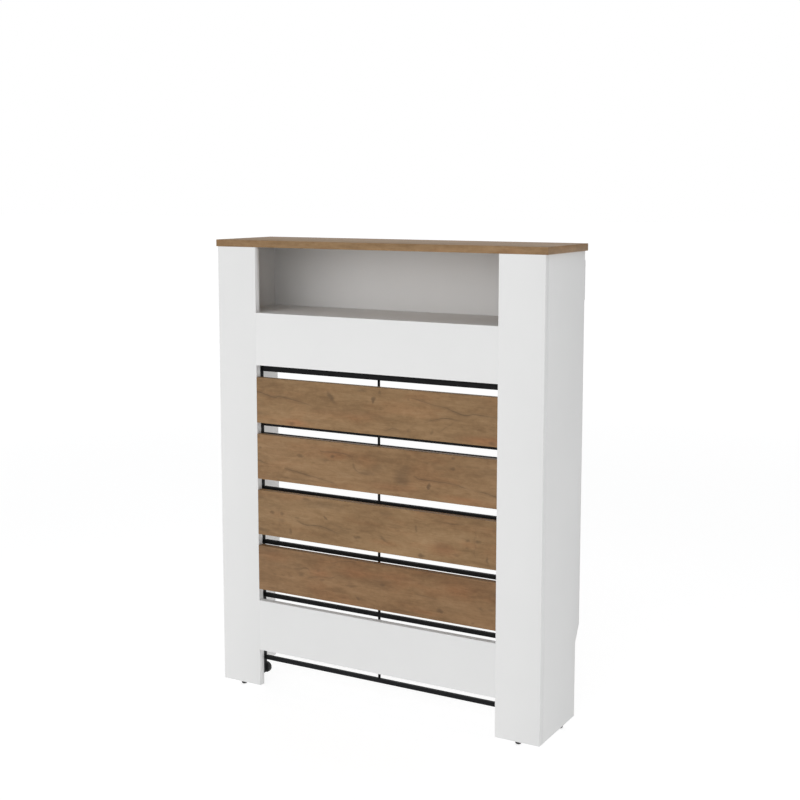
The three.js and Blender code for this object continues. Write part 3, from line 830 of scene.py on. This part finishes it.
# ------------------------------------------------- screws, studs and knobs
def cross_cut(mesh, origin, axis, face, size, depth, sign=1):
    """Cuts a tapered cross recess into the end of a head. face is the place of the end along the axis."""
    bm = bmesh.new()
    for turn in (0, 1):
        corners = []
        for k, (half, narrow) in enumerate(((size, 0.62), (size * 0.45, 0.34))):
            h = face + sign * 0.4 if k == 0 else face - sign * depth
            for u, v in ((-1, -1), (1, -1), (1, 1), (-1, 1)):
                a, b = (u * half, v * narrow) if turn == 0 else (u * narrow, v * half)
                corners.append(bm.verts.new(place(a, b, h, axis, origin)))
        for quad in ((0, 1, 2, 3), (7, 6, 5, 4), (0, 4, 5, 1), (1, 5, 6, 2), (2, 6, 7, 3), (3, 7, 4, 0)):
            bm.faces.new([corners[i] for i in quad])
    bmesh.ops.recalc_face_normals(bm, faces=bm.faces)
    tool_me = bpy.data.meshes.new("tool")
    bm.to_mesh(tool_me)
    bm.free()
    a = bpy.data.objects.new("head_tmp", mesh)
    b = bpy.data.objects.new("tool_tmp", tool_me)
    scene.collection.objects.link(a)
    scene.collection.objects.link(b)
    mod = a.modifiers.new("cut", "BOOLEAN")
    mod.operation, mod.object, mod.solver = "DIFFERENCE", b, "EXACT"
    mod.use_self = True
    bpy.context.view_layer.update()
    dg = bpy.context.evaluated_depsgraph_get()
    done = bpy.data.meshes.new_from_object(a.evaluated_get(dg))
    bpy.data.objects.remove(a)
    bpy.data.objects.remove(b)
    bpy.data.meshes.remove(tool_me)
    bpy.data.meshes.remove(mesh)
    return sharpen(done, 38)


def pan_screw(origin, axis, seat, sign, length, r_head=3.3, r_shank=1.7, h_head=2.1):
    """A pan-head screw. seat is the underside of the head along the axis; sign +1 puts the head towards +axis."""
    q = lambda h: seat + sign * h
    shank = [
        (0, q(-length)), (r_shank * 0.35, q(-length + 1.2), 0.0), (r_shank, q(-length + 3.2), 0.0),
        (r_shank, q(-0.8), 0.0), (r_shank, q(0.0), 0.0),
    ]
    head = [(r_head * 0.96, q(0.0)), (r_head, q(0.25)), (r_head, q(h_head * 0.45)), (r_head * 0.93, q(h_head * 0.75)),
            (r_head * 0.74, q(h_head * 0.95)), (r_head * 0.5, q(h_head)), (0, q(h_head))]
    if sign > 0:
        pts, cut = thread(shank, 1.5, 0.42, shank[2][1], shank[3][1], 6)
        pts = pts + head
    else:
        flipped = [(p[0], -p[1], *p[2:]) for p in shank]
        pts, cut0 = thread(flipped, 1.5, 0.42, flipped[2][1], flipped[3][1], 6)
        pts = [(p[0], -p[1], *p[2:]) for p in pts] + head
        cut = lambda a, h: cut0(a, -h)
    me = revolve("screw", pts, origin, axis, 24, cut)
    return cross_cut(me, origin, axis, q(h_head), r_head * 0.62, h_head * 0.72, sign)


for side, fx in (("left", lambda x: x), ("right", lambda x: 780 - x)):
    c = fx(93.0)
    # screw at the post's head
    h = 28.4 + 0.1
    me = pan_screw((c, 0, 747), "y", h, 1, h - 4.5, 4.0, 1.75, 2.4)
    new_object("post_head_screw_" + side, me, mats=[STEEL], nodes=["post_screw_" + side])

    # threaded stud and fluted clamp knob
    y0, y1 = 28.7, 38.3
    stud = [(0, 4), (2.4, 4), (3.0, 4.8, 0.0), (3.0, 5.0, 0.0), (3.0, y1 - 4.2, 0.0), (2.9, y1 - 4.0, 0.0), (2.2, y1 - 3.2), (0, y1 - 3.2)]
    pts, cut = thread(stud, 1.0, 0.55, 5.0, y1 - 4.2, 6)
    me = sharpen(revolve("stud", pts, (c, 0, 32.4), "y", 24, cut), 60)
    new_object("threaded_stud_" + side, me, mats=[ZINC], nodes=["knob_stud_" + side])

    flute = lambda a, h: -0.62 * (0.5 + 0.5 * math.cos(18 * a)) ** 2.2
    R = 12.0
    pts = [
        (0, y1 - 2.6), (3.3, y1 - 2.6), (3.3, y0 + 0.4), (3.7, y0), (8.6, y0), (8.9, y0 + 0.25), (9.9, y0 + 0.25), (10.2, y0),
        (R - 0.95, y0, 0.7), (R - 0.35, y0 + 0.25, 0.9), (R - 0.05, y0 + 0.8, 1.0), (R, y0 + 1.5, 1.0), (R, y0 + 3.2, 1.0),
        (R, y1 - 4.6, 1.0), (R, y1 - 2.6, 1.0), (R - 0.15, y1 - 1.9, 1.0), (R - 0.6, y1 - 1.1, 0.95), (R - 1.4, y1 - 0.4, 0.8), (R - 2.3, y1 - 0.08, 0.4),
        (R - 3.0, y1, 0.1), (R - 3.8, y1 - 0.05), (R - 4.4, y1 - 0.45), (R - 4.7, y1 - 0.9), (R - 5.2, y1 - 1.05), (5.4, y1 - 1.05), (4.9, y1 - 0.95),
        (4.5, y1 - 0.45), (4.1, y1 - 0.2), (3.2, y1 - 0.12), (0, y1 - 0.1),
    ]
    me = sharpen(revolve("knob", pts, (c, 0, 32.4), "y", 144, flute), 50)
    new_object("fluted_knob_" + side, me, side + "_knob", [PLASTIC], ["clamp_knob_" + side])

    # wall plate and its countersunk screws
    new = from_cad(
        "wall_plate_" + side, "keyhole_plate_" + side, [ZINC], lambda f, lo, hi: 0,
        lambda e, mid, lo, hi: 0.5 if on_box(mid, lo, hi) else 0.25, width=0.0004, segments=2,
    )
    face = 206.05
    for level, z in (("lower", 895), ("upper", 952)):
        shank = [(0, face - 23), (0.6, face - 21.8, 0.0), (1.7, face - 19.6, 0.0), (1.7, face - 3.4, 0.0), (1.7, face - 2.4, 0.0)]
        pts, cut = thread(shank, 1.5, 0.4, shank[2][1], shank[3][1], 6)
        pts += [(3.75, face - 0.42), (3.85, face - 0.32), (3.7, face - 0.2), (0, face - 0.2)]
        me = revolve("csk", pts, (fx(7.5), 0, z), "y", 28, cut)
        me = cross_cut(me, (fx(7.5), 0, z), "y", face - 0.2, 2.3, 1.5)
        new_object("countersunk_screw_%s_%s" % (side, level), me, mats=[ZINC], nodes=["plate_screw_%s_%s" % (side, level)])

    # plastic corner blocks with their screws
    for n in ("corner_block_%s_low", "corner_block_%s_high", "shelf_block_%s_front", "shelf_block_%s_back"):
        n = n % side
        from_cad(
            n, n.replace("block", "bracket"), [NYLON], lambda f, lo, hi: 0,
            lambda e, mid, lo, hi: 1.0 if e.calc_length() > 0.004 else 0.35, width=0.0005, segments=2,
        )
    sgn = 1 if side == "left" else -1
    for level, z in (("low", 250), ("high", 640)):
        a = pan_screw((fx(25.5), 0, z + 9), "y", 19.05, 1, 14, 3.2, 1.6, 2.0)
        b = pan_screw((0, 25.5, z + 21), "x", fx(19.05), sgn, 14, 3.2, 1.6, 2.0)
        new_object("bracket_screws_%s_%s" % (side, level), join("s", [a, b]), mats=[ZINC])
    for spot, y in (("front", 55), ("back", 145)):
        a = pan_screw((fx(25.5), y + 9, 0), "z", 827 - 4.05, -1, 14, 3.2, 1.6, 2.0)
        b = pan_screw((0, y + 21, 827 - 10.5), "x", fx(19.05), sgn, 14, 3.2, 1.6, 2.0)
        new_object("shelf_bracket_screws_%s_%s" % (side, spot), join("s", [a, b]), mats=[ZINC])

    # glides
    for spot, gx, gy in (("front", fx(49.5), 7.5), ("rear", fx(7.5), 123)):
        pts = [
            (0, -6.0), (2.4, -5.98), (3.7, -5.9), (4.7, -5.6), (5.5, -5.0), (6.0, -4.2), (6.15, -3.5), (6.1, -3.25), (6.2, -3.1), (6.45, -3.0),
            (6.5, -2.8), (6.5, -0.35), (6.3, -0.05), (1.2, -0.05), (1.2, 10.6), (0.9, 11.6), (0, 12.3),
        ]
        me = sharpen(revolve("glide", pts, (gx, gy, 0), "z", 48), 50)
        new_object("nail_glide_%s_%s" % (spot, side), me, mats=[PLASTIC], nodes=["glide_%s_%s" % (spot, side)])

# fluted beech dowels, seen only when the boards come apart
groove = lambda a, h: -0.28 * (0.5 + 0.5 * math.cos(20 * a)) ** 3
for n in sorted(NODES):
    if n.startswith("dowel_"):
        lo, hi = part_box(n)
        mid = (lo + hi) / 2 / MM - OFFSET
        half = 15.0
        pts = [(0, -half), (2.7, -half), (3.2, -half + 0.25), (4.0, -half + 1.6, 0.6), (4.0, -half + 2.2, 1.0), (4.0, half - 2.2, 1.0), (4.0, half - 1.6, 0.6), (3.2, half - 0.25), (2.7, half), (0, half)]
        me = sharpen(revolve("dowel", pts, tuple(mid), "x", 80, groove), 60)
        new_object(n.replace("dowel", "fluted_dowel"), me, mats=[BEECH], nodes=[n])

# nails that hold the thin back to the shelf's rear edge
nails = []
for k in range(7):
    x = 45 + k * (690 / 6)
    z = 834.5 + (0.5 if k % 2 else -0.4)
    nails.append(revolve("nail", [(0, 184), (0.7, 186), (0.7, 198.0), (1.75, 198.02), (1.8, 198.25), (1.5, 198.5), (0, 198.62)], (x, 0, z), "y", 20))
new_object("back_panel_nails", sharpen(join("nails", nails), 50), mats=[ZINC])

# ------------------------------------------------------- floor and lights
s = Shader("pale_floor")
soft = s.noise(s.at, 1.3, 3.0, 0.5)
s.set(Base_Color=s.mix(soft, grey(0.40), grey(0.42)), Roughness=0.9, Specular_IOR_Level=0.1)
s.set(Emission_Color=(1.0, 1.0, 1.0), Emission_Strength=s.remap(s.vmath("LENGTH", s.at), 1.5, 6.0, 0.745, 0.85, True))
bm = bmesh.new()
bmesh.ops.create_grid(bm, x_segments=2, y_segments=2, size=40.0)
me = bpy.data.meshes.new("floor")
bm.to_mesh(me)
bm.free()
floor = bpy.data.objects.new("floor", me)
floor.data.materials.append(s.mat)
floor.location = (0, 0, -0.0003)
scene.collection.objects.link(floor)

world = bpy.data.worlds.new("studio")
scene.world = world
world.use_nodes = True
wt = world.node_tree
wt.nodes.clear()
w_out = wt.nodes.new("ShaderNodeOutputWorld")
w_mix = wt.nodes.new("ShaderNodeMixShader")
w_path = wt.nodes.new("ShaderNodeLightPath")
w_seen = wt.nodes.new("ShaderNodeBackground")
w_light = wt.nodes.new("ShaderNodeBackground")
w_seen.inputs[0].default_value = (1, 1, 1, 1)
w_seen.inputs[1].default_value = 1.0
w_light.inputs[0].default_value = (0.98, 0.99, 1.0, 1)
# a little more light from low down behind the cabinet, as from a pale wall there
w_dir = wt.nodes.new("ShaderNodeTexCoord")
w_dot = wt.nodes.new("ShaderNodeVectorMath")
w_dot.operation = "DOT_PRODUCT"
w_dot.inputs[1].default_value = (-0.42, 0.89, 0.16)
w_map = wt.nodes.new("ShaderNodeMapRange")
w_map.interpolation_type = "SMOOTHSTEP"
for k, v in enumerate((0.55, 0.97, 0.365, 0.85)):
    w_map.inputs[k + 1].default_value = v
wt.links.new(w_dir.outputs["Generated"], w_dot.inputs[0])
wt.links.new(w_dot.outputs["Value"], w_map.inputs[0])
wt.links.new(w_map.outputs[0], w_light.inputs[1])
wt.links.new(w_path.outputs["Is Camera Ray"], w_mix.inputs[0])
wt.links.new(w_light.outputs[0], w_mix.inputs[1])
wt.links.new(w_seen.outputs[0], w_mix.inputs[2])
wt.links.new(w_mix.outputs[0], w_out.inputs[0])


def area(name, at, target, size, power, color=(1, 1, 1)):
    d = bpy.data.lights.new(name, "AREA")
    d.shape = "RECTANGLE"
    d.size, d.size_y = size
    d.energy = power
    d.color = color
    o = bpy.data.objects.new(name, d)
    o.location = at
    o.rotation_euler = (Vector(target) - Vector(at)).to_track_quat("-Z", "Y").to_euler()
    scene.collection.objects.link(o)
    return o


area("key", (-1.8, -3.7, 2.15), (0, 0, 0.6), (2.6, 2.0), 20)
area("fill", (3.1, -0.7, 2.9), (0, 0, 0.9), (2.4, 2.4), 4)
area("front_fill", (0.7, -3.8, 1.95), (0, 0, 0.7), (2.8, 2.0), 34)
area("top_soft", (0.2, 0.6, 3.4), (0, 0, 0.9), (2.4, 2.4), 22)
